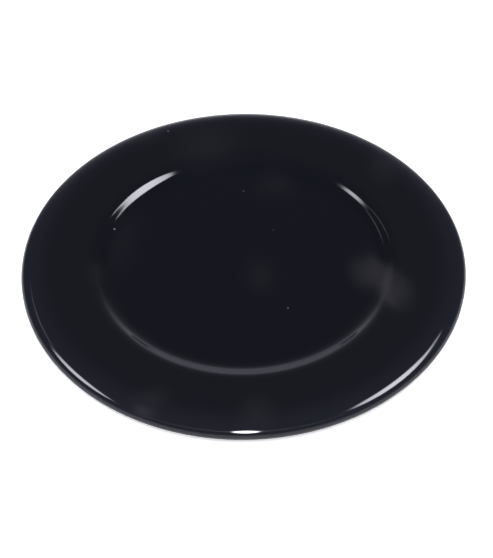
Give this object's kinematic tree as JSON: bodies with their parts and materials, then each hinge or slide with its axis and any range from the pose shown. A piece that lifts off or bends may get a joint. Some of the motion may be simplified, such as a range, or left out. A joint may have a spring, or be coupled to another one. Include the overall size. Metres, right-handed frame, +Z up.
{
  "type": "gas burner cap",
  "caption": "Round enamelled steel cap that covers a gas hob burner: flat ring, shallow pressed recess in the middle and a rim turned down to a rounded edge.",
  "frame": {"origin": "centre of the underside of the pressed boss, on the surface that the cap stands on", "axes": "+Z up along the axis of the round, towards the recessed face; X and Y lie in the plane of the cap, which is the same all round"},
  "size_m": [0.094, 0.094, 0.0048],
  "materials": {
    "enamel": "glossy blue-black vitreous enamel fired on steel"
  },
  "bodies": {
    "root": {"burner_cap": "enamel"}
  },
  "joints": []
}
